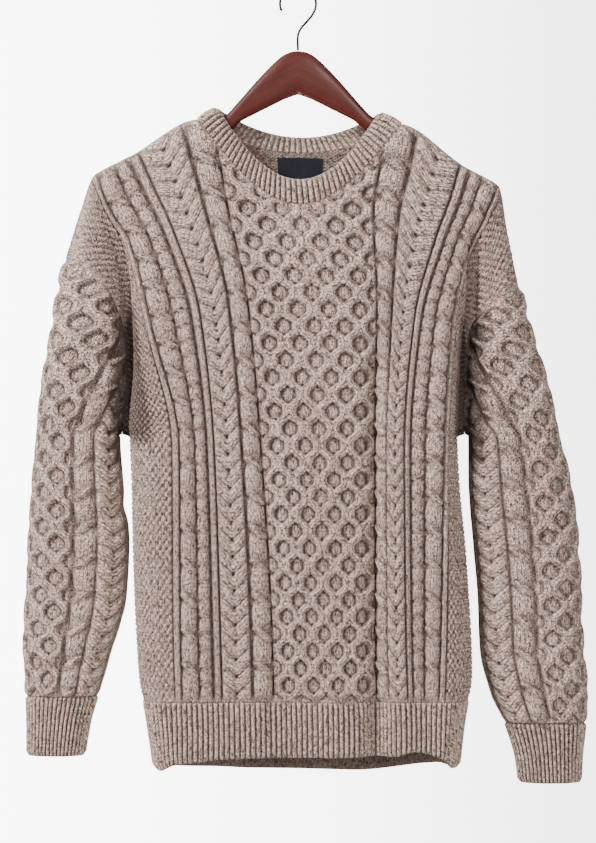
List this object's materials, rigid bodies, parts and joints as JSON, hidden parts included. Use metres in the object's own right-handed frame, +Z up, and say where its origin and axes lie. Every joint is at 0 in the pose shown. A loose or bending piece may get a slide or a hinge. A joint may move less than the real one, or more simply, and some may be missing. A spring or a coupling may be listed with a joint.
{
  "type": "crewneck cable sweater on a wooden hanger",
  "caption": "Drop-shoulder crewneck sweater in cable and honeycomb knit with rib hem, cuffs and neckband, hanging on a wooden hanger with a wire hook.",
  "frame": {"origin": "inside top of the wire hook's loop, where a rail carries it", "axes": "+Z up, the sweater's front faces -Y, +X towards the viewer's right; +Z along the length, Y through the thin depth"},
  "size_m": [0.609, 0.1104, 0.8609],
  "materials": {
    "wool_knit": "oatmeal marl wool",
    "label_cloth": "woven, dark navy, bare",
    "tab_cloth": "woven, black, bare",
    "hanger_wood": "satin lacquered mahogany",
    "hook_wire": "satin black"
  },
  "bodies": {
    "root": {"front": "wool_knit", "back": "wool_knit", "hem_front": "wool_knit", "hem_back": "wool_knit", "sleeve_left": "wool_knit", "sleeve_right": "wool_knit", "cuff_left": "wool_knit", "cuff_right": "wool_knit", "neckband": "wool_knit", "neck_label": "label_cloth", "size_tab": "tab_cloth", "hanger_body": "hanger_wood", "hanger_hook": "hook_wire"}
  },
  "joints": []
}
